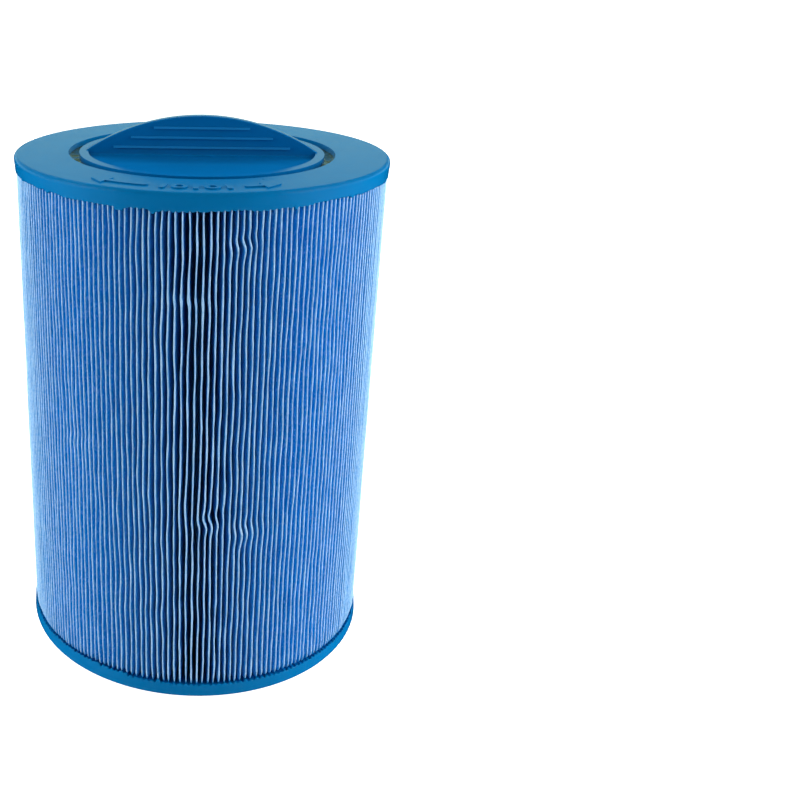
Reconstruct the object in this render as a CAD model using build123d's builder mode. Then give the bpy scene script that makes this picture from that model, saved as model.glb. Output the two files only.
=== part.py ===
"""Pleated filter cartridge for a spa skimmer: two cast end caps, a moulded handle insert,
a threaded adapter, a slotted core in two halves and a pleated media pack.
Millimetres, +Z up, origin at the centre of the threaded nipple's end face."""

from build123d import *

import os
from math import cos, pi, sin, sqrt

# Overall sizes
cap_radius = 75.0           # outside of both end caps
body_length = 210.0         # from face to face of the two end caps
nipple_length = 19.5        # the nipple stands this far out of the bottom cap

# Cast end caps
groove_depth = 3.6          # open groove between a cap and the moulded piece inside it
flange_thickness = 1.2      # hidden flange that the cast resin grips
flange_lap = 4.0            # the flange runs this far out under the cap
resin_bed = 0.7             # resin between the flange and the ends of the pleats
cap_draft = 0.5             # the cap's side leans in by this much at its inner edge
cap_edge_fillet = 1.5
cap_depth = groove_depth + flange_thickness + resin_bed

# Handle insert
insert_radius = 49.0
top_groove_width = 4.3
rim_width = 3.6
recess_depth = 1.6          # shallow floor on both sides of the handle web
insert_floor = 2.6          # plate left under the recess, inside the spigot
web_thickness = 4.2
arch_rise = 14.1            # top of the handle above the rim
arch_half_span = 46.5       # where the arch runs into the rim
arch_edge_fillet = 0.5
web_foot_fillet = 0.8
ridge_count = 3
ridge_height = 0.9
ridge_proud = 0.6
ridge_first = 1.7           # middle of the lowest grip ridge above the rim
ridge_spacing = 3.85
ridge_end_margin = 8.6      # from a ridge's end to the arch

# Threaded adapter
disc_radius = 60.3
bottom_groove_width = 4.6
bore_radius = 19.05
bore_chamfer = 1.1
nipple_end_radius = 21.3    # smooth lead at the nipple's end
nipple_end_length = 3.0
thread_root_radius = 21.9
thread_crest_radius = 24.3
thread_pitch = 6.35
thread_crest_width = 1.2
thread_foot_width = 4.4
thread_turns = 2.05
thread_sink = 0.4           # the thread's section starts this far inside its root
disc_edge_fillet = 0.8
step_radius = 46.5          # raised arc on the face of the disc
step_width = 2.0
step_height = 0.7
step_sweep = 170.0          # degrees

# Core
core_radius = 32.0
core_wall = 2.5
core_lap = 6.0              # the upper half stands this far into the lower half
joint_clearance = 0.10      # radial, between the halves and around both spigots
spigot_wall = 2.2
spigot_length = 7.0
window_columns = 10
window_rows = 5
window_height = 12.0
window_width = 10.0

# Media pack
media_thickness = 0.36
tip_inset = 0.9             # outer folds lie this far inside the cap's side
core_gap = 0.2              # inner folds stand this far off the core
tip_loop = 0.28             # open width inside an outer fold
valley_gap = 0.10           # open width between the walls at an inner fold
fold_gap = 0.14             # least open width between two inner folds
tip_round = 0.35            # corner taken off each outer fold
media_arcs = 10             # the strip is drawn as this many arcs of pleats
seam_turn = 0.25            # where the pack's two ends meet, as a share of a turn from +X
seam_inset = 1.0            # the bond starts this far inside the outer folds
seam_depth = 4.0            # and runs this much deeper

# Adhesive beads at the bottom of both grooves
bead_depth = 1.1

# Raised direction marks on the top cap
mark_radius = 66.5
mark_height = 0.5
mark_width = 2.2
arrow_size = 4.6            # centre to corner of an arrow's head
arrow_start = -107.0        # degrees, tail of the long arrow
arrow_sweep = -15.0
short_arrow_start = -76.0
short_arrow_sweep = 7.0
tick_angles = (-101.5, -91.5, -81.5)
tick_length = 6.5
ring_angles = (-96.5, -86.5)
ring_outer_radius = 3.0
ring_inner_radius = 1.5

# A selector takes a place or a radius to be equal within this
match_tolerance = 0.01

# Heights
bottom_face = nipple_length
top_face = bottom_face + body_length
media_low = bottom_face + cap_depth
media_high = top_face - cap_depth
core_low = media_low - resin_bed
core_high = media_high + resin_bed
core_middle = (core_low + core_high) / 2

# Radii that follow from the ones above
top_hole_radius = insert_radius + top_groove_width
bottom_hole_radius = disc_radius + bottom_groove_width
top_flange_radius = top_hole_radius + flange_lap
bottom_flange_radius = bottom_hole_radius + flange_lap
core_inner_radius = core_radius - core_wall
spigot_radius = core_inner_radius - joint_clearance
spigot_inner_radius = spigot_radius - spigot_wall
media_outer_radius = cap_radius - tip_inset
media_inner_radius = core_radius + core_gap
fold_pitch = 2 * media_thickness + valley_gap + fold_gap
pleat_count = int(2 * pi * media_inner_radius / fold_pitch)
tip_half = media_thickness + tip_loop / 2
valley_half = valley_gap / 2


def cast_cap_outline(face, inward, hole_radius, flange_radius):
    """Half section of an end cap. inward is +1 or -1, from the face to the media."""
    groove_floor = face + inward * groove_depth
    bed = face + inward * (groove_depth + flange_thickness)
    inner_face = face + inward * cap_depth
    return [
        (hole_radius, face),
        (cap_radius, face),
        (cap_radius - cap_draft, inner_face),
        (core_radius, inner_face),
        (core_radius, bed),
        (flange_radius, bed),
        (flange_radius, groove_floor),
        (hole_radius, groove_floor),
    ]


def fold_points(step, points):
    """Points given as (radius, sideways) about a fold, placed in plan. Whole steps are
    outer folds, and half steps are the inner folds between them."""
    angle = 2 * pi * step / pleat_count
    return [
        (
            radius * cos(angle) - sideways * sin(angle),
            radius * sin(angle) + sideways * cos(angle),
        )
        for radius, sideways in points
    ]


def arc_of_pleats(first, last):
    """Outline of the pleats first to last - 1, cut at the middle of an inner fold."""
    valley_radius = media_inner_radius + media_thickness
    loop_radius = media_outer_radius - media_thickness
    fold_half = valley_half + media_thickness
    outside = fold_points(first - 0.5, [(valley_radius, 0), (valley_radius, valley_half)])
    inside = fold_points(first - 0.5, [(media_inner_radius, 0), (media_inner_radius, fold_half)])
    for index in range(first, last):
        outside += fold_points(
            index,
            [
                (media_outer_radius - tip_round, -tip_half),
                (media_outer_radius, -tip_half + tip_round),
                (media_outer_radius, tip_half - tip_round),
                (media_outer_radius - tip_round, tip_half),
            ],
        )
        inside += fold_points(index, [(loop_radius, -tip_loop / 2), (loop_radius, tip_loop / 2)])
        if index < last - 1:
            outside += fold_points(
                index + 0.5, [(valley_radius, -valley_half), (valley_radius, valley_half)]
            )
            inside += fold_points(
                index + 0.5, [(media_inner_radius, -fold_half), (media_inner_radius, fold_half)]
            )
    outside += fold_points(last - 0.5, [(valley_radius, -valley_half), (valley_radius, 0)])
    inside += fold_points(last - 0.5, [(media_inner_radius, -fold_half), (media_inner_radius, 0)])
    return outside + inside[::-1]


def arrow(start, sweep):
    """Curved arrow in the open sketch: an arc of a ring with a triangle at its end."""
    SlotArc(CenterArc((0, 0), mark_radius, start, sweep), mark_width)
    turn = 90 if sweep > 0 else -90
    with Locations(Location((0, 0, 0), (0, 0, start + sweep))):
        with Locations(Location((mark_radius, 0, 0), (0, 0, turn))):
            RegularPolygon(arrow_size, 3)


# Top end cap, cast around the handle insert's flange
with BuildPart() as top_end_cap:
    with BuildSketch(Plane.XZ):
        with BuildLine():
            Polyline(
                cast_cap_outline(top_face, -1, top_hole_radius, top_flange_radius), close=True
            )
        make_face()
    revolve(axis=Axis.Z)
    rim_edges = top_end_cap.edges().filter_by(GeomType.CIRCLE).group_by(Axis.Z)[-1]
    fillet(rim_edges.sort_by(SortBy.RADIUS)[-1], cap_edge_fillet)
    with BuildSketch(Plane.XY.offset(top_face)):
        arrow(arrow_start, arrow_sweep)
        arrow(short_arrow_start, short_arrow_sweep)
        for angle in tick_angles:
            with Locations(Location((0, 0, 0), (0, 0, angle))):
                with Locations((mark_radius, 0)):
                    SlotOverall(tick_length, mark_width)
        for angle in ring_angles:
            with Locations(Location((0, 0, 0), (0, 0, angle))):
                with Locations((mark_radius, 0)):
                    Circle(ring_outer_radius)
                    Circle(ring_inner_radius, mode=Mode.SUBTRACT)
    extrude(amount=mark_height)

# Handle insert: plate, rim, flange and spigot in one moulding, with the web across it
insert_low = core_high
recess_floor = top_face - recess_depth
arch_radius = (arch_half_span**2 + arch_rise**2) / (2 * arch_rise)
arch_centre = top_face + arch_rise - arch_radius
web_foot = recess_floor - insert_floor / 2
with BuildPart() as handle_insert:
    with BuildSketch(Plane.XZ):
        with BuildLine():
            Polyline(
                [
                    (0, recess_floor),
                    (insert_radius - rim_width, recess_floor),
                    (insert_radius - rim_width, top_face),
                    (insert_radius, top_face),
                    (insert_radius, top_face - groove_depth),
                    (top_flange_radius, top_face - groove_depth),
                    (top_flange_radius, insert_low),
                    (spigot_radius, insert_low),
                    (spigot_radius, insert_low - spigot_length),
                    (spigot_inner_radius, insert_low - spigot_length),
                    (spigot_inner_radius, recess_floor - insert_floor),
                    (0, recess_floor - insert_floor),
                ],
                close=True,
            )
        make_face()
    revolve(axis=Axis.Z)
    with BuildSketch(Plane.XZ):
        with BuildLine():
            arch = ThreePointArc(
                (-arch_half_span, top_face), (0, top_face + arch_rise), (arch_half_span, top_face)
            )
            Polyline(
                arch @ 1,
                (arch_half_span, web_foot),
                (-arch_half_span, web_foot),
                arch @ 0,
            )
        make_face()
    extrude(amount=web_thickness / 2, both=True)
    foot_edges = handle_insert.edges().filter_by(Axis.X).filter_by(
        lambda edge: abs(edge.center().Z - recess_floor) < match_tolerance
    )
    fillet(foot_edges, web_foot_fillet)
    arch_edges = handle_insert.edges().filter_by(GeomType.CIRCLE).filter_by(
        lambda edge: abs(edge.radius - arch_radius) < match_tolerance
    )
    fillet(arch_edges, arch_edge_fillet)
    for index in range(ridge_count):
        rise = ridge_first + index * ridge_spacing
        arch_width = sqrt(arch_radius**2 - (top_face + rise - arch_centre) ** 2)
        ridge_half_length = arch_width - ridge_end_margin
        with Locations((0, 0, top_face + rise)):
            Box(2 * ridge_half_length, web_thickness + 2 * ridge_proud, ridge_height)

# Threaded adapter: disc, nipple, flange and spigot in one moulding
adapter_high = core_low
with BuildPart() as threaded_adapter:
    with BuildSketch(Plane.XZ):
        with BuildLine():
            Polyline(
                [
                    (bore_radius + bore_chamfer, 0),
                    (nipple_end_radius, 0),
                    (nipple_end_radius, nipple_end_length),
                    (thread_root_radius, nipple_end_length),
                    (thread_root_radius, bottom_face),
                    (disc_radius, bottom_face),
                    (disc_radius, bottom_face + groove_depth),
                    (bottom_flange_radius, bottom_face + groove_depth),
                    (bottom_flange_radius, adapter_high),
                    (spigot_radius, adapter_high),
                    (spigot_radius, adapter_high + spigot_length),
                    (spigot_inner_radius, adapter_high + spigot_length),
                    (spigot_inner_radius, adapter_high),
                    (bore_radius, adapter_high),
                    (bore_radius, bore_chamfer),
                ],
                close=True,
            )
        make_face()
    revolve(axis=Axis.Z)
    disc_edges = threaded_adapter.edges().filter_by(GeomType.CIRCLE).filter_by(
        lambda edge: abs(edge.radius - disc_radius) < match_tolerance
    )
    fillet(disc_edges.sort_by(Axis.Z)[0], disc_edge_fillet)
    with BuildSketch(Plane.XY.offset(bottom_face)):
        SlotArc(CenterArc((0, 0), step_radius, -90 - step_sweep / 2, step_sweep), step_width)
    extrude(amount=-step_height)
    with BuildLine():
        thread_path = Helix(
            thread_pitch,
            thread_pitch * thread_turns,
            thread_root_radius,
            center=(0, 0, nipple_end_length + thread_foot_width / 2),
        )
    with BuildSketch(Plane(origin=thread_path @ 0, x_dir=(1, 0, 0), z_dir=thread_path % 0)):
        crest = thread_crest_radius - thread_root_radius
        Polygon(
            (-thread_sink, -thread_foot_width / 2),
            (crest, -thread_crest_width / 2),
            (crest, thread_crest_width / 2),
            (-thread_sink, thread_foot_width / 2),
            align=None,
        )
    sweep(path=thread_path, is_frenet=True)

# Bottom end cap, cast around the adapter's flange
with BuildPart() as bottom_end_cap:
    with BuildSketch(Plane.XZ):
        with BuildLine():
            Polyline(
                cast_cap_outline(bottom_face, 1, bottom_hole_radius, bottom_flange_radius),
                close=True,
            )
        make_face()
    revolve(axis=Axis.Z)
    rim_edges = bottom_end_cap.edges().filter_by(GeomType.CIRCLE).group_by(Axis.Z)[0]
    fillet(rim_edges.sort_by(SortBy.RADIUS)[-1], cap_edge_fillet)

# Adhesive beads in the two grooves
with BuildPart() as top_adhesive_bead:
    with BuildSketch(Plane.XY.offset(top_face - groove_depth)):
        Circle(top_hole_radius)
        Circle(insert_radius, mode=Mode.SUBTRACT)
    extrude(amount=bead_depth)

with BuildPart() as bottom_adhesive_bead:
    with BuildSketch(Plane.XY.offset(bottom_face + groove_depth)):
        Circle(bottom_hole_radius)
        Circle(disc_radius, mode=Mode.SUBTRACT)
    extrude(amount=-bead_depth)

# Core halves, joined by a lap at mid height
lap_radius = core_radius - core_wall / 2
lap_low = core_middle - core_lap
window_pitch_low = (lap_low - core_low - spigot_length) / window_rows
window_pitch_high = (core_high - core_middle - spigot_length) / window_rows


def cut_windows(first, pitch):
    """Rows of windows through the wall of the open core part."""
    for row in range(window_rows):
        middle = first + (row + 0.5) * pitch
        with PolarLocations(0, window_columns):
            with Locations(Location((0, 0, middle), (0, 90, 0))):
                Box(
                    min(window_height, pitch - core_wall),
                    window_width,
                    core_radius + core_wall,
                    align=(Align.CENTER, Align.CENTER, Align.MIN),
                    mode=Mode.SUBTRACT,
                )


with BuildPart() as lower_core:
    with BuildSketch(Plane.XY.offset(core_low)):
        Circle(core_radius)
        Circle(core_inner_radius, mode=Mode.SUBTRACT)
    extrude(amount=core_middle - core_low)
    with BuildSketch(Plane.XY.offset(lap_low)):
        Circle(lap_radius + joint_clearance)
    extrude(amount=core_lap, mode=Mode.SUBTRACT)
    cut_windows(core_low + spigot_length, window_pitch_low)

with BuildPart() as upper_core:
    with BuildSketch(Plane.XY.offset(core_middle)):
        Circle(core_radius)
        Circle(core_inner_radius, mode=Mode.SUBTRACT)
    extrude(amount=core_high - core_middle)
    with BuildSketch(Plane.XY.offset(lap_low)):
        Circle(lap_radius)
        Circle(core_inner_radius, mode=Mode.SUBTRACT)
    extrude(amount=core_lap)
    cut_windows(core_middle, window_pitch_high)

# Pleated media: the folded strip between the two caps, in arcs that meet at inner folds
media_solids = []
for arc in range(media_arcs):
    first = round(arc * pleat_count / media_arcs)
    last = round((arc + 1) * pleat_count / media_arcs)
    with BuildPart() as media_arc:
        with BuildSketch(Plane.XY.offset(media_low)):
            with BuildLine():
                Polyline(arc_of_pleats(first, last), close=True)
            make_face()
        extrude(amount=media_high - media_low)
    media_solids.append(media_arc.part.solid())
pleated_media = Compound(media_solids)

# Bond that closes the pack: it fills one valley near the outer folds, from wall to wall
half_step = pi / pleat_count
fold_corner_radius = media_outer_radius - tip_round
wall_outer = (
    fold_corner_radius * cos(half_step) + tip_half * sin(half_step),
    fold_corner_radius * sin(half_step) - tip_half * cos(half_step),
)
wall_inner = (media_inner_radius + media_thickness, valley_half)


def valley_half_width(radius):
    """Half the open width between two neighbouring walls at this radius."""
    share = (radius - wall_inner[0]) / (wall_outer[0] - wall_inner[0])
    return wall_inner[1] + share * (wall_outer[1] - wall_inner[1])


seam_outer = fold_corner_radius - seam_inset
seam_inner = seam_outer - seam_depth
seam_valley = int(seam_turn * pleat_count) + 0.5
with BuildPart() as media_seam:
    with BuildSketch(Plane.XY.offset(media_low)):
        with Locations(Location((0, 0, 0), (0, 0, 360 * seam_valley / pleat_count))):
            Polygon(
                (seam_inner, -valley_half_width(seam_inner)),
                (seam_outer, -valley_half_width(seam_outer)),
                (seam_outer, valley_half_width(seam_outer)),
                (seam_inner, valley_half_width(seam_inner)),
                align=None,
            )
    extrude(amount=media_high - media_low)

parts = {
    "top_end_cap": top_end_cap.part,
    "handle_insert": handle_insert.part,
    "threaded_adapter": threaded_adapter.part,
    "bottom_end_cap": bottom_end_cap.part,
    "top_adhesive_bead": top_adhesive_bead.part,
    "bottom_adhesive_bead": bottom_adhesive_bead.part,
    "lower_core": lower_core.part,
    "upper_core": upper_core.part,
    "pleated_media": pleated_media,
    "media_seam": media_seam.part,
}
os.makedirs("parts", exist_ok=True)
for name, shape in parts.items():
    shape.label = name
    export_step(shape, f"parts/{name}.step")
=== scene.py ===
from math import cos, exp, pi, radians, sin, tau

import bpy
from mathutils import Matrix, Vector, noise


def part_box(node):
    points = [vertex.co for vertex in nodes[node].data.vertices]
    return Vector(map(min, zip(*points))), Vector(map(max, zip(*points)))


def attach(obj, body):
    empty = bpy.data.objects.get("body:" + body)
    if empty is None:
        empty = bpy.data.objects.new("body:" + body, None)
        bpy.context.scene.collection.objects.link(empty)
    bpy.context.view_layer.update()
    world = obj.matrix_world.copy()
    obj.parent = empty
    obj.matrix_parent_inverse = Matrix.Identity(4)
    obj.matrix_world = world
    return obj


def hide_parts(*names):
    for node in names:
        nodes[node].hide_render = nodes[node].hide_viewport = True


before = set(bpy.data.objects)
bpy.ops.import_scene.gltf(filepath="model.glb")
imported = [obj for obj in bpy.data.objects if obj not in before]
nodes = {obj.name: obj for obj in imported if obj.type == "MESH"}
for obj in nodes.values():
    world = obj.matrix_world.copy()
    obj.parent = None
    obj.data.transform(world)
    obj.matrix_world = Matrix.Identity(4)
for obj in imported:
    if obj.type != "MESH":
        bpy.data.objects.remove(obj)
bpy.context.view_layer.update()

mm = 0.001
mediaLow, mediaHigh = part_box("pleated_media")
topCapLow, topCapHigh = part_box("top_end_cap")
bottomCapLow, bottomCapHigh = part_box("bottom_end_cap")
foldRadius = mediaHigh.x
capEdgeRadius = 74.5 * mm   # the caps' sides lean in to this where they meet the media
print("frame loaded, media from", round(mediaLow.z, 4), "to", round(mediaHigh.z, 4))


# Helpers for meshes and shader nodes

def makePiece(name, points, faces, material):
    mesh = bpy.data.meshes.new(name)
    mesh.from_pydata(points, [], faces)
    mesh.shade_smooth()
    piece = bpy.data.objects.new(name, mesh)
    bpy.context.scene.collection.objects.link(piece)
    piece.data.materials.append(material)
    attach(piece, "root")
    return piece


def gridFaces(columns, rows, closedAround=True, closedAlong=False):
    # vertex number is column * rows + row
    faces = []
    for column in range(columns if closedAround else columns - 1):
        across = (column + 1) % columns
        for row in range(rows if closedAlong else rows - 1):
            above = (row + 1) % rows
            faces.append((column * rows + row, across * rows + row,
                          across * rows + above, column * rows + above))
    return faces


def around(turn, radius, height):
    return (radius * cos(turn), radius * sin(turn), height)


def linear(hexColour):
    # sRGB hex to the linear colour that the shaders want
    channels = [int(hexColour[i:i + 2], 16) / 255 for i in (1, 3, 5)]
    return [c / 12.92 if c <= 0.04045 else ((c + 0.055) / 1.055) ** 2.4 for c in channels] + [1.0]


def addNode(tree, kind, values=None, links=None, **options):
    node = tree.nodes.new("ShaderNode" + kind)
    for name, value in options.items():
        setattr(node, name, value)
    for name, value in (values or {}).items():
        node.inputs[name].default_value = value
    for name, source in (links or {}).items():
        tree.links.new(source, node.inputs[name])
    return node


def startMaterial(name, finish):
    material = bpy.data.materials.new(name)
    material.use_nodes = True
    tree = material.node_tree
    surface = tree.nodes["Principled BSDF"]
    for socket, value in finish.items():
        surface.inputs[socket].default_value = value
    place = addNode(tree, "TexCoord").outputs["Object"]
    return material, tree, surface, place


# Cast polyurethane, poured round the pleats in an open mould: an even deep colour with a
# soft gloss, a faint orange-peel skin and a few pin holes where air came out, dented and
# darkened with painted shade inside

def castPolyurethane():
    resin = {"colour": "#0073b1", "cloud": "#0068a5", "hole": "#003d63", "cloudMm": 18,
             "peelMm": 2.2, "smoothest": 0.14, "roughest": 0.24,
             "pinholeMm": 7.0,                   # size of the cells that may hold a pin hole
             "pinholeShare": 0.16,               # of those cells, how many do
             "holeInner": 0.03, "holeOuter": 0.07}
    material, tree, surface, place = startMaterial("cast polyurethane", {
        "Roughness": 0.2, "IOR": 1.48, "Specular IOR Level": 0.25})
    cloud = addNode(tree, "TexNoise", {"Scale": 1000 / resin["cloudMm"], "Detail": 3.0},
                    {"Vector": place})
    tint = addNode(tree, "Mix", {"A": linear(resin["colour"]), "B": linear(resin["cloud"])},
                   {"Factor": cloud.outputs["Fac"]}, data_type="RGBA")
    cells = addNode(tree, "TexVoronoi", {"Scale": 1000 / resin["pinholeMm"]}, {"Vector": place})
    hole = addNode(tree, "MapRange", {"From Min": resin["holeInner"],
                                      "From Max": resin["holeOuter"], "To Min": 1.0,
                                      "To Max": 0.0}, {"Value": cells.outputs["Distance"]},
                   interpolation_type="SMOOTHSTEP")
    cellNumber = addNode(tree, "SeparateColor", None, {"Color": cells.outputs["Color"]})
    chosen = addNode(tree, "Math", {1: resin["pinholeShare"]}, {0: cellNumber.outputs["Red"]},
                     operation="LESS_THAN")
    pinhole = addNode(tree, "Math", None, {0: hole.outputs["Result"], 1: chosen.outputs["Value"]},
                      operation="MULTIPLY")
    # the pin holes are painted darker: painted shade inside them
    pinholeShade = addNode(tree, "Mix", {"B": linear(resin["hole"])},
                   {"Factor": pinhole.outputs["Value"], "A": tint.outputs["Result"]},
                   data_type="RGBA")
    peel = addNode(tree, "TexNoise", {"Scale": 1000 / resin["peelMm"], "Detail": 4.0},
                   {"Vector": place})
    gloss = addNode(tree, "MapRange", {"From Min": 0.3, "From Max": 0.7,
                                       "To Min": resin["smoothest"],
                                       "To Max": resin["roughest"]},
                    {"Value": peel.outputs["Fac"]})
    skin = addNode(tree, "Bump", {"Strength": 0.12, "Distance": 0.03 * mm},
                   {"Height": peel.outputs["Fac"]})
    dent = addNode(tree, "Bump", {"Strength": 0.7, "Distance": 0.2 * mm},
                   {"Height": pinhole.outputs["Value"], "Normal": skin.outputs["Normal"]},
                   invert=True)
    tree.links.new(pinholeShade.outputs["Result"], surface.inputs["Base Color"])
    tree.links.new(gloss.outputs["Result"], surface.inputs["Roughness"])
    tree.links.new(dent.outputs["Normal"], surface.inputs["Normal"])
    return material


# Moulded ABS in the same blue: a smoother tool-polished skin that mirrors more, with slow
# flow streaks and fine scuffs from handling

def mouldedAbs():
    abs_ = {"colour": "#006bb0", "flow": "#0062a0", "ridgeHighlight": "#1a80c2", "flowMm": 22,
            "scuffMm": 0.9, "smoothest": 0.08, "roughest": 0.2,
            "ridgeAside": 2.6 * mm,              # the ridges' faces lie this far from the
            "ridgeBand": 0.15 * mm}              # web's middle, give or take the band
    material, tree, surface, place = startMaterial("moulded ABS", {
        "Roughness": 0.15, "IOR": 1.53, "Specular IOR Level": 0.3})
    stretch = addNode(tree, "Mapping", {"Scale": (1.0, 0.35, 1.0)}, {"Vector": place})
    flow = addNode(tree, "TexNoise", {"Scale": 1000 / abs_["flowMm"], "Detail": 2.0,
                                      "Distortion": 0.8}, {"Vector": stretch.outputs["Vector"]})
    tint = addNode(tree, "Mix", {"A": linear(abs_["colour"]), "B": linear(abs_["flow"])},
                   {"Factor": flow.outputs["Fac"]}, data_type="RGBA")
    # The grip ridges stand proud of the web; their faces are painted paler, a painted highlight
    # where they catch the light
    split = addNode(tree, "SeparateXYZ", None, {"Vector": place})
    off = addNode(tree, "Math", None, {0: split.outputs["Y"]}, operation="ABSOLUTE")
    proud = addNode(tree, "Math", {1: abs_["ridgeAside"], 2: abs_["ridgeBand"]},
                    {0: off.outputs["Value"]}, operation="COMPARE")
    raised = addNode(tree, "Math", {1: topCapHigh.z}, {0: split.outputs["Z"]},
                     operation="GREATER_THAN")
    ridge = addNode(tree, "Math", None, {0: proud.outputs["Value"], 1: raised.outputs["Value"]},
                    operation="MULTIPLY")
    ridgeHighlight = addNode(tree, "Mix", {"B": linear(abs_["ridgeHighlight"])},
                     {"Factor": ridge.outputs["Value"], "A": tint.outputs["Result"]},
                     data_type="RGBA")
    scuff = addNode(tree, "TexNoise", {"Scale": 1000 / abs_["scuffMm"], "Detail": 6.0,
                                       "Roughness": 0.7}, {"Vector": place})
    gloss = addNode(tree, "MapRange", {"From Min": 0.35, "From Max": 0.75,
                                       "To Min": abs_["smoothest"],
                                       "To Max": abs_["roughest"]},
                    {"Value": scuff.outputs["Fac"]})
    skin = addNode(tree, "Bump", {"Strength": 0.05, "Distance": 0.01 * mm},
                   {"Height": scuff.outputs["Fac"]})
    tree.links.new(ridgeHighlight.outputs["Result"], surface.inputs["Base Color"])
    tree.links.new(gloss.outputs["Result"], surface.inputs["Roughness"])
    tree.links.new(skin.outputs["Normal"], surface.inputs["Normal"])
    return material


# Spun-bonded polyester, hot-calendered and pleated: matt fibre felt, paler along the outer
# folds, partly from the stretched fibres and partly as painted highlight where they catch the
# light, deep blue in the valleys and paler deeper in, where painted light stands in for light
# through the cloth

def spunbondPolyester():
    cloth = {"colour": "#18a4ea", "deep": "#1290dc", "inner": "#5cbcff", "fold": "#b6d9fa",
             "filament": "#84c8ff", "sheen": "#9cc4ff",
             "clumpMm": 9.0, "fuzzMm": 0.45, "mottleMm": 1.3,
             "foldDepth": 0.8 * mm,              # the whitening reaches this far down a wall
             "crownDepth": 0.1 * mm,             # and is full above this
             "foldWander": 0.25 * mm,
             "innerFull": 4 * mm, "innerNone": 1.5 * mm,
             "filamentMm": 2.4, "filamentShare": 0.5,
             "filamentTurns": (20, 75, 140)}     # degrees, one layer of filaments for each
    material, tree, surface, place = startMaterial("spun-bonded polyester", {
        "Roughness": 0.9, "IOR": 1.45, "Specular IOR Level": 0.1, "Sheen Weight": 0.08,
        "Sheen Roughness": 0.5, "Sheen Tint": linear(cloth["sheen"])})
    # Distance from the axis tells an outer fold from a valley
    split = addNode(tree, "SeparateXYZ", None, {"Vector": place})
    flat = addNode(tree, "CombineXYZ", None, {"X": split.outputs["X"], "Y": split.outputs["Y"]})
    reach = addNode(tree, "VectorMath", None, {0: flat.outputs["Vector"]}, operation="LENGTH")
    clump = addNode(tree, "TexNoise", {"Scale": 1000 / cloth["clumpMm"], "Detail": 4.0},
                    {"Vector": place})
    fuzz = addNode(tree, "TexNoise", {"Scale": 1000 / cloth["fuzzMm"], "Detail": 3.0},
                   {"Vector": place})
    wander = addNode(tree, "MapRange", {"To Min": -cloth["foldWander"],
                                        "To Max": cloth["foldWander"]},
                     {"Value": fuzz.outputs["Fac"]})
    uneven = addNode(tree, "Math", None, {0: reach.outputs["Value"], 1: wander.outputs["Result"]},
                     operation="ADD")
    # pale outer folds: partly the fibres' own whitening, partly painted highlight
    fold = addNode(tree, "MapRange", {"From Min": foldRadius - cloth["foldDepth"],
                                      "From Max": foldRadius - cloth["crownDepth"]},
                   {"Value": uneven.outputs["Value"]}, interpolation_type="SMOOTHSTEP")
    # The whitening and painted highlight come and go along each fold
    mottle = addNode(tree, "TexNoise", {"Scale": 1000 / cloth["mottleMm"], "Detail": 2.0},
                     {"Vector": place})
    strength = addNode(tree, "MapRange", {"From Min": 0.3, "From Max": 0.6, "To Min": 0.6},
                       {"Value": mottle.outputs["Fac"]})
    patchy = addNode(tree, "Math", None, {0: fold.outputs["Result"],
                                          1: strength.outputs["Result"]}, operation="MULTIPLY")
    body = addNode(tree, "Mix", {"A": linear(cloth["deep"]), "B": linear(cloth["colour"])},
                   {"Factor": clump.outputs["Fac"]}, data_type="RGBA")
    # Each filament is where one smooth noise field crosses its middle value
    filaments = body.outputs["Result"]
    for turnDegrees in cloth["filamentTurns"]:
        lay = addNode(tree, "Mapping", {"Rotation": (radians(turnDegrees), 0.4, 0.0),
                                        "Scale": (1.0, 1.0, 0.35)}, {"Vector": place})
        field = addNode(tree, "TexNoise", {"Scale": 1000 / cloth["filamentMm"], "Detail": 1.0},
                        {"Vector": lay.outputs["Vector"]})
        offset = addNode(tree, "Math", {1: 0.5}, {0: field.outputs["Fac"]}, operation="SUBTRACT")
        near = addNode(tree, "Math", None, {0: offset.outputs["Value"]}, operation="ABSOLUTE")
        line = addNode(tree, "MapRange", {"From Min": 0.004, "From Max": 0.02,
                                          "To Min": cloth["filamentShare"], "To Max": 0.0},
                       {"Value": near.outputs["Value"]})
        layer = addNode(tree, "Mix", {"B": linear(cloth["filament"])},
                        {"Factor": line.outputs["Result"], "A": filaments}, data_type="RGBA")
        filaments = layer.outputs["Result"]
    # Painted light: a paler colour deeper in the valleys stands in for light that passes
    # through the cloth, and keeps them from turning black
    valleyLightMask = addNode(tree, "MapRange", {"From Min": foldRadius - cloth["innerFull"],
                                        "From Max": foldRadius - cloth["innerNone"],
                                        "To Min": 1.0, "To Max": 0.0},
                     {"Value": reach.outputs["Value"]})
    paintedValleyLight = addNode(tree, "Mix", {"B": linear(cloth["inner"])},
                      {"Factor": valleyLightMask.outputs["Result"], "A": filaments}, data_type="RGBA")
    whitenedAndHighlighted = addNode(tree, "Mix", {"B": linear(cloth["fold"])},
                       {"Factor": patchy.outputs["Value"], "A": paintedValleyLight.outputs["Result"]},
                       data_type="RGBA")
    felt = addNode(tree, "Bump", {"Strength": 0.6, "Distance": 0.12 * mm},
                   {"Height": fuzz.outputs["Fac"]})
    tree.links.new(whitenedAndHighlighted.outputs["Result"], surface.inputs["Base Color"])
    tree.links.new(felt.outputs["Normal"], surface.inputs["Normal"])
    return material


# Cured urethane adhesive: amber-green, clear enough to look wet, with small bubbles

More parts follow.
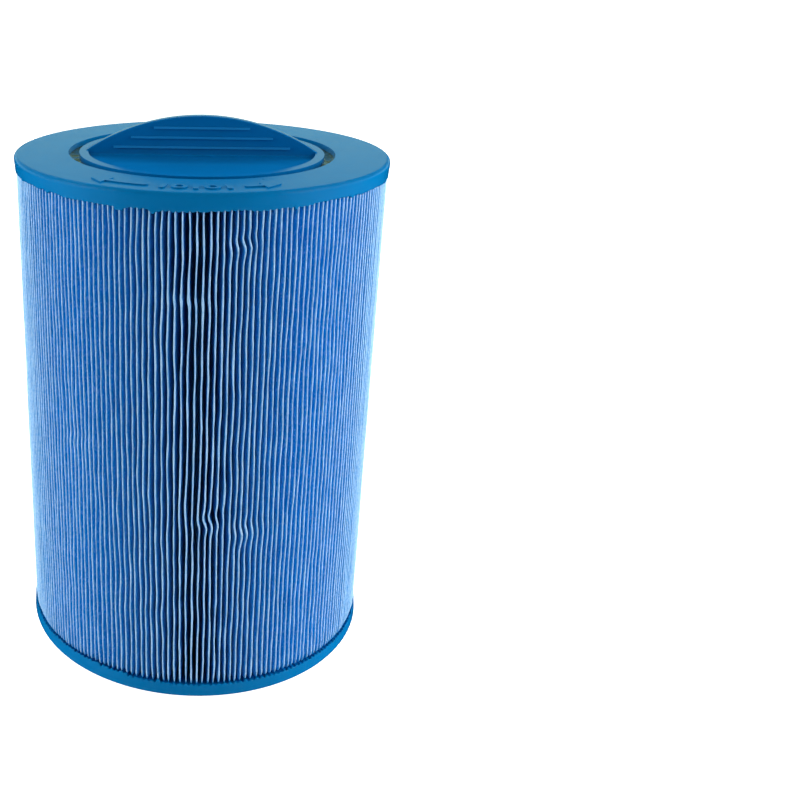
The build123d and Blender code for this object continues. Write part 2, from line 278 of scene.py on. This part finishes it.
def curedAdhesive():
    glue = {"colour": "#567048", "thick": "#184858", "bubbleMm": 1.1, "cloudMm": 6.25}
    material, tree, surface, place = startMaterial("cured adhesive", {
        "Roughness": 0.14, "IOR": 1.5, "Transmission Weight": 0.15, "Coat Weight": 0.3})
    bubbles = addNode(tree, "TexVoronoi", {"Scale": 1000 / glue["bubbleMm"]}, {"Vector": place})
    depth = addNode(tree, "TexNoise", {"Scale": 1000 / glue["cloudMm"], "Detail": 3.0},
                    {"Vector": place})
    tint = addNode(tree, "Mix", {"A": linear(glue["colour"]), "B": linear(glue["thick"])},
                   {"Factor": depth.outputs["Fac"]}, data_type="RGBA")
    skin = addNode(tree, "Bump", {"Strength": 0.35, "Distance": 0.1 * mm},
                   {"Height": bubbles.outputs["Distance"]})
    tree.links.new(tint.outputs["Result"], surface.inputs["Base Color"])
    tree.links.new(skin.outputs["Normal"], surface.inputs["Normal"])
    return material


# Core polypropylene, moulded and left natural: waxy pale grey, hardly polished

def naturalPolypropylene():
    core = {"colour": "#c9cfd0", "shade": "#b4bcbe", "grainMm": 1.4}
    material, tree, surface, place = startMaterial("natural polypropylene", {
        "Roughness": 0.45, "IOR": 1.49, "Subsurface Weight": 0.1, "Subsurface Scale": 1.0 * mm})
    grain = addNode(tree, "TexNoise", {"Scale": 1000 / core["grainMm"], "Detail": 5.0},
                    {"Vector": place})
    tint = addNode(tree, "Mix", {"A": linear(core["colour"]), "B": linear(core["shade"])},
                   {"Factor": grain.outputs["Fac"]}, data_type="RGBA")
    skin = addNode(tree, "Bump", {"Strength": 0.3, "Distance": 0.05 * mm},
                   {"Height": grain.outputs["Fac"]})
    tree.links.new(tint.outputs["Result"], surface.inputs["Base Color"])
    tree.links.new(skin.outputs["Normal"], surface.inputs["Normal"])
    return material


resin = castPolyurethane()
abs_ = mouldedAbs()
cloth = spunbondPolyester()
glue = curedAdhesive()
corePlastic = naturalPolypropylene()


def paint(node, material):
    for materialSlot in nodes[node].material_slots:
        materialSlot.material = material


paint("top_end_cap", resin)
paint("bottom_end_cap", resin)
paint("handle_insert", abs_)
paint("threaded_adapter", abs_)
paint("lower_core", corePlastic)
paint("upper_core", corePlastic)
print("materials made")


# Pleated media: one sheet folded round the core. Every outer fold wanders a little on its
# way up, its neighbours mostly with it, and a few groups of folds are kinked

pleats = {
    "count": 210,
    "rows": 112,
    "foldHalfWidth": 0.3 * mm,
    "valleyRadius": 32.6 * mm,
    "crowding": 0.07,           # the folds stand this much further apart at the front
    "lean": 0.36 * mm,          # slow sideways drift shared by many folds
    "leanMm": (26, 75),         # how wide and tall its waves are
    "ripple": 0.18 * mm,        # quicker waves shared by a few folds
    "rippleMm": (8, 15),
    "ownWander": 0.17 * mm,     # each fold's own unevenness
    "ownTallMm": 17,            # and how tall its slow, quick and quickest waves are
    "quickTallMm": 6,
    "jitterTallMm": 2.8,
    "swellShare": 0.45,         # how much a fold's width changes on its way up
    "swellTallMm": 9,
    "heightWander": 0.16 * mm,  # how far a fold may lie inside the round
    "heightTallMm": 30,
    "tuck": 1.1 * mm,           # the folds are pinched in where they enter the bottom resin
    "tuckHeight": 1.5 * mm,
}
# Half of a fold's section: depth inside its crown, and share of its half width there
foldSection = [(0.14 * mm, 0.7), (0.5 * mm, 1.0), (3 * mm, 1.0), (14 * mm, 0.95)]
# Kinks: turn in degrees from the front, height in mm under the top cap, how many mm wide and
# tall, how far the folds jump sideways, how much they bulge and how steeply the kink climbs
kinks = [
    {"turn": 12, "below": 13, "wide": 5, "tall": 2.2, "jump": 0.6, "swell": 0.15, "slant": 0.5},
    {"turn": -3, "below": 34, "wide": 9, "tall": 2.0, "jump": 0.12, "swell": 0.26, "slant": -0.3},
    {"turn": 4, "below": 123, "wide": 5, "tall": 2.4, "jump": 0.7, "swell": 0.1, "slant": 0.6},
    {"turn": 15, "below": 127, "wide": 7, "tall": 2.8, "jump": 0.5, "swell": 0.12, "slant": 0.3},
    {"turn": -40, "below": 96, "wide": 6, "tall": 2.6, "jump": -0.35, "swell": 0.1, "slant": 0.4},
    {"turn": 96, "below": 60, "wide": 6, "tall": 2.6, "jump": 0.6, "swell": 0.15, "slant": -0.5},
    {"turn": 150, "below": 140, "wide": 7, "tall": 3.0, "jump": -0.6, "swell": 0.15, "slant": 0.4},
    {"turn": -128, "below": 90, "wide": 6, "tall": 2.4, "jump": 0.7, "swell": 0.2, "slant": 0.6},
    {"turn": -62, "below": 150, "wide": 7, "tall": 3.0, "jump": 0.5, "swell": 0.1, "slant": 0.5},
]
frontTurn = -pi / 2


def ringNoise(turn, height, wideMm, tallMm, seed):
    # smooth noise on the media's cylinder, with no join where the turn closes
    across = foldRadius / (wideMm * mm)
    return noise.noise(Vector((across * cos(turn) + seed, across * sin(turn),
                               height / (tallMm * mm) + seed)))


def kinkShare(even, height):
    # sideways shift and extra half width that the kinks give a fold at this height
    aside = swell = 0.0
    for kink in kinks:
        away = (even - frontTurn - radians(kink["turn"]) + pi) % tau - pi
        sideways = away * foldRadius / (kink["wide"] * mm)
        if abs(sideways) < 3:
            rise = (mediaHigh.z - kink["below"] * mm - height) / (kink["tall"] * mm)
            rise += kink["slant"] * sideways
            near = exp(-sideways ** 2)
            aside += kink["jump"] * mm * near * rise * exp(0.5 - rise ** 2 / 2)
            swell += kink["swell"] * mm * near * exp(-rise ** 2)
    return aside, swell


def foldTurn(step, height):
    # where fold number step stands at this height; halves are the valleys between folds
    even = tau * step / pleats["count"]
    even += pleats["crowding"] / 4 * sin(4 * (even - frontTurn))
    lean = pleats["lean"] * 2 * ringNoise(even, height, *pleats["leanMm"], 3.1)
    ripple = pleats["ripple"] * 2 * ringNoise(even, height, *pleats["rippleMm"], 11.7)
    aside, swell = kinkShare(even, height)
    return even + (aside + lean + ripple) / foldRadius, swell


def foldNoise(place, seed, height, tallMm):
    # place is the fold's number times a factor that sets how alike neighbours are
    return noise.noise(Vector((place, seed, height / (tallMm * mm))))


def foldPlace(step, height):
    # a fold's turn with its own unevenness, its half width and how far it lies inside
    turn, bulge = foldTurn(step, height)
    own = foldNoise(step * 1.37, 4.2, height, pleats["ownTallMm"])
    quick = foldNoise(step * 2.11, 9.6, height, pleats["quickTallMm"])
    jitter = foldNoise(step * 1.93, 2.7, height, pleats["jitterTallMm"])
    turn += pleats["ownWander"] * (2 * own + 0.6 * quick + 0.6 * jitter) / foldRadius
    swell = foldNoise(step * 0.83, 7.9, height, pleats["swellTallMm"])
    halfWidth = pleats["foldHalfWidth"] * (1 + pleats["swellShare"] * swell) + bulge
    sunk = foldNoise(step * 3.3, 1.4, height, pleats["heightTallMm"])
    inside = pleats["heightWander"] * (0.5 + sunk)
    # Pinched in, the fold ends near the bottom resin also fall out of the pale crown colour and
    # read darker there: painted shade where they meet the resin
    tuck = pleats["tuck"] * exp(-((height - mediaLow.z) / pleats["tuckHeight"]) ** 2)
    return turn, halfWidth, max(inside, 0.0) + tuck


def rowHeights():
    last = pleats["rows"] - 1
    return [mediaLow.z + (mediaHigh.z - mediaLow.z) * row / last for row in range(last + 1)]


def makeMedia():
    count, rows = pleats["count"], pleats["rows"]
    # from one flank over the crown to the other
    section = [(depth, -share) for depth, share in reversed(foldSection)]
    section += [(0, 0)] + foldSection
    heights = rowHeights()
    points = []
    for step in range(count):
        places = [foldPlace(step, height) for height in heights]
        for depth, share in section:
            for height, (turn, halfWidth, inside) in zip(heights, places):
                radius = foldRadius - inside - depth
                points.append(around(turn + share * halfWidth / foldRadius, radius, height))
        for height in heights:
            points.append(around(foldTurn(step + 0.5, height)[0], pleats["valleyRadius"], height))
    faces = gridFaces(count * (len(section) + 1), rows)
    media = makePiece("media_pleats", points, faces, cloth)
    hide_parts("pleated_media")


makeMedia()
print("media folded")


# The bond that closes the strip fills one valley at the back, close behind the folds

def makeSeam():
    seam = {"step": 52,         # the fold before the bonded valley
            "outerDepth": 1.0 * mm, "innerDepth": 4.5 * mm}
    rows = pleats["rows"]
    points = []
    corners = [(0, seam["outerDepth"]), (1, seam["outerDepth"]),
               (1, seam["innerDepth"]), (0, seam["innerDepth"])]
    for side, depth in corners:
        for height in rowHeights():
            turn, halfWidth, inside = foldPlace(seam["step"] + side, height)
            lean = 1 if side == 0 else -1
            points.append(around(turn + lean * halfWidth / foldRadius,
                                 foldRadius - inside - depth, height))
    faces = gridFaces(4, rows)
    faces += [(0, rows, 2 * rows, 3 * rows), (rows - 1, 4 * rows - 1, 3 * rows - 1, 2 * rows - 1)]
    bond = makePiece("media_seam_bond", points, faces, glue)
    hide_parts("media_seam")


makeSeam()


# Resin lip: where the cast cap meets the pleats its edge isn't a clean line. It ends in a
# low uneven lip outside the folds, with steps and runs, and creeps further along each valley

def makeResinEdge(name, edgeHeight, inward, leastMm, scallopMm, creepMm, seed):
    lip = {"perPleat": 8, "swellMm": 0.35, "stepMm": 0.8, "runMm": 1.1, "thinnestMm": 0.02}
    columns = pleats["count"] * lip["perPleat"]
    points = []
    for column in range(columns):
        step = column / lip["perPleat"]
        whole = int(step)
        share = step - whole
        height = edgeHeight
        here = foldPlace(whole, height)[0]
        following = foldPlace((whole + 1) % pleats["count"], height)[0]
        if following < here:
            following += tau
        turn = here + (following - here) * share
        valley = (1 - cos(tau * step)) / 2
        swell = 0.5 + ringNoise(turn, 0, 9, 9, seed)
        level = 0.5 + 0.5 * max(-1, min(1, 14 * ringNoise(turn, 0, 34, 9, seed + 4) - 2))
        run = max(0.0, ringNoise(turn, 0, 3.2, 9, seed + 9) - 0.28) * 3
        edge = leastMm + lip["swellMm"] * swell + lip["stepMm"] * level + lip["runMm"] * run
        edge += scallopMm * valley * (0.8 + noise.noise(Vector((step * 0.9, seed, 2.0))))
        edge = max(edge, lip["thinnestMm"])
        reach = 0.35 + abs(noise.noise(Vector((whole * 1.7, seed, 5.0))))
        creep = edge + valley * creepMm * reach
        # depth inside the cap's side and how far past its edge, in mm
        profile = [(0.0, -0.6), (0.0, edge * 0.7), (0.12, edge), (0.45, edge + 0.1),
                   (0.9, creep * 0.9), (1.7, creep), (3.0, creep - 0.2)]
        for depth, down in profile:
            points.append(around(turn, capEdgeRadius - depth * mm, edgeHeight + inward * down * mm))
    faces = gridFaces(columns, len(profile))
    if inward > 0:
        faces = [face[::-1] for face in faces]
    makePiece(name, points, faces, resin)


makeResinEdge("top_resin_lip", topCapLow.z, -1, -0.1, 0.45, 0.7, 2.3)
makeResinEdge("bottom_resin_lip", bottomCapHigh.z, 1, 0.35, -0.7, -2.2, 17.9)
print("resin lips cast")


# Adhesive beads: laid round each groove by hand, so the surface is lumpy and climbs the walls

def makeBead(name, node, innerRadius, floorHeight, outward, seed):
    bead = {"columns": 420, "depthMm": 1.1, "lumpMm": 0.4, "lumpWide": 5 * mm, "climbMm": 0.4}
    low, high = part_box(node)
    outerRadius = high.x
    points = []
    shares = [0.0, 0.12, 0.35, 0.65, 0.88, 1.0]
    for column in range(bead["columns"]):
        turn = tau * column / bead["columns"]
        for share in shares:
            radius = innerRadius + (outerRadius - innerRadius) * share
            climb = bead["climbMm"] * (2 * share - 1) ** 4
            lump = noise.noise(Vector((radius * cos(turn) / bead["lumpWide"] + seed,
                                       radius * sin(turn) / bead["lumpWide"], seed)))
            depth = bead["depthMm"] + climb + bead["lumpMm"] * lump
            points.append(around(turn, radius, floorHeight + outward * depth * mm))
        points.append(around(turn, outerRadius, floorHeight))
        points.append(around(turn, innerRadius, floorHeight))
    faces = gridFaces(bead["columns"], len(shares) + 2, closedAlong=True)
    if outward > 0:
        faces = [face[::-1] for face in faces]
    piece = makePiece(name, points, faces, glue)
    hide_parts(node)


insertRadius = 49.0 * mm    # the moulded pieces that the two grooves run round
discRadius = 60.3 * mm
makeBead("top_glue_line", "top_adhesive_bead", insertRadius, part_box("top_adhesive_bead")[0].z,
         1, 6.1)
makeBead("bottom_glue_line", "bottom_adhesive_bead", discRadius,
         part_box("bottom_adhesive_bead")[1].z, -1, 13.4)
print("adhesive laid")


# Stage: pale floor, even white surround that is dimmer in front, and a large soft box on
# each side

def makeStage():
    floor = {"colour": "#f2f3f4", "glow": 1.15, "half": 20.0, "front": -0.5}
    half, front = floor["half"], floor["front"]
    mesh = bpy.data.meshes.new("floor")
    mesh.from_pydata([(-half, front, 0), (half, front, 0), (half, half, 0), (-half, half, 0)],
                     [], [(0, 1, 2, 3)])
    plane = bpy.data.objects.new("floor", mesh)
    bpy.context.scene.collection.objects.link(plane)
    material, tree, surface, place = startMaterial("pale floor", {
        "Base Color": linear(floor["colour"]), "Roughness": 0.8, "Specular IOR Level": 0.2,
        "Emission Color": linear(floor["colour"])})
    seen = addNode(tree, "LightPath").outputs["Is Camera Ray"]
    glow = addNode(tree, "Math", {1: floor["glow"]}, {0: seen}, operation="MULTIPLY")
    tree.links.new(glow.outputs["Value"], surface.inputs["Emission Strength"])
    # from below the floor is clear, so the cartridge's underside can be looked at
    below = addNode(tree, "NewGeometry").outputs["Backfacing"]
    clear = addNode(tree, "BsdfTransparent").outputs["BSDF"]
    oneSided = addNode(tree, "MixShader", None, {0: below, 1: surface.outputs["BSDF"], 2: clear})
    tree.links.new(oneSided.outputs["Shader"], tree.nodes["Material Output"].inputs["Surface"])
    mesh.materials.append(material)
    plane.visible_glossy = False


def makeSurround():
    surround = {"colour": "#ccffe2", "back": 0.6, "front": 0.28, "aboveShare": 0.25}
    world = bpy.data.worlds.new("studio")
    bpy.context.scene.world = world
    world.use_nodes = True
    tree = world.node_tree
    background = tree.nodes["Background"]
    direction = addNode(tree, "TexCoord").outputs["Generated"]
    split = addNode(tree, "SeparateXYZ", None, {"Vector": direction})
    towards = addNode(tree, "MapRange", {"From Min": -0.85, "From Max": 0.1,
                                         "To Min": surround["front"], "To Max": surround["back"]},
                      {"Value": split.outputs["Y"]}, interpolation_type="SMOOTHSTEP")
    sky = addNode(tree, "MapRange", {"From Min": -0.03, "From Max": 0.03},
                  {"Value": split.outputs["Z"]})
    low = addNode(tree, "Math", None, {0: towards.outputs["Result"], 1: sky.outputs["Result"]},
                  operation="MULTIPLY")
    top = addNode(tree, "MapRange", {"From Min": 0.2, "From Max": 0.25, "To Min": 1.0,
                                     "To Max": surround["aboveShare"]},
                  {"Value": split.outputs["Z"]})
    lit = addNode(tree, "Math", None, {0: low.outputs["Value"], 1: top.outputs["Result"]},
                  operation="MULTIPLY")
    # the camera itself sees plain white
    seen = addNode(tree, "LightPath").outputs["Is Camera Ray"]
    strength = addNode(tree, "Mix", {3: 1.0}, {0: seen, 2: lit.outputs["Value"]})
    colour = addNode(tree, "Mix", {"A": linear(surround["colour"]), "B": linear("#ffffff")},
                     {"Factor": seen}, data_type="RGBA")
    tree.links.new(strength.outputs[0], background.inputs["Strength"])
    tree.links.new(colour.outputs["Result"], background.inputs["Color"])


def makeLight(name, place, aim, size, power):
    light = bpy.data.lights.new(name, "AREA")
    light.shape = "RECTANGLE"
    light.size, light.size_y = size
    light.energy = power
    lamp = bpy.data.objects.new(name, light)
    bpy.context.scene.collection.objects.link(lamp)
    lamp.visible_glossy = False
    lamp.location = place
    lamp.rotation_euler = (Vector(aim) - Vector(place)).to_track_quat("-Z", "Y").to_euler()


makeStage()
makeSurround()
middle = (0, 0, (bottomCapLow.z + topCapHigh.z) / 2)
makeLight("left_softbox", (-0.9, -0.15, 0.35), middle, (0.9, 1.1), 13)
makeLight("right_softbox", (0.9, -0.15, 0.35), middle, (0.9, 1.1), 16)
makeLight("back_softbox", (0, 0.9, 0.95), middle, (1.2, 0.8), 15)


# Camera: in front and above, looking down at the cartridge, which stands left of centre

def makeCamera():
    shot = {"distance": 0.4324, "above": 0.2924, "down": 22.07, "aside": -1.0, "roll": 0.54,
            "lens": 48.32, "shiftAcross": 0.2739, "shiftUp": -0.0441}
    camera = bpy.data.cameras.new("camera")
    camera.lens = shot["lens"]
    camera.sensor_width = 36
    camera.shift_x = shot["shiftAcross"]
    camera.shift_y = shot["shiftUp"]
    holder = bpy.data.objects.new("camera", camera)
    bpy.context.scene.collection.objects.link(holder)
    turn = Matrix.Rotation(-radians(shot["aside"]), 4, "Z")
    tilt = Matrix.Rotation(pi / 2 - radians(shot["down"]), 4, "X")
    roll = Matrix.Rotation(radians(shot["roll"]), 4, "Z")
    place = Matrix.Translation((0, -shot["distance"], bottomCapLow.z + shot["above"]))
    holder.matrix_world = place @ turn @ tilt @ roll
    bpy.context.scene.camera = holder


makeCamera()
bpy.context.scene.view_settings.view_transform = "Standard"
print("stage, lights and camera set")
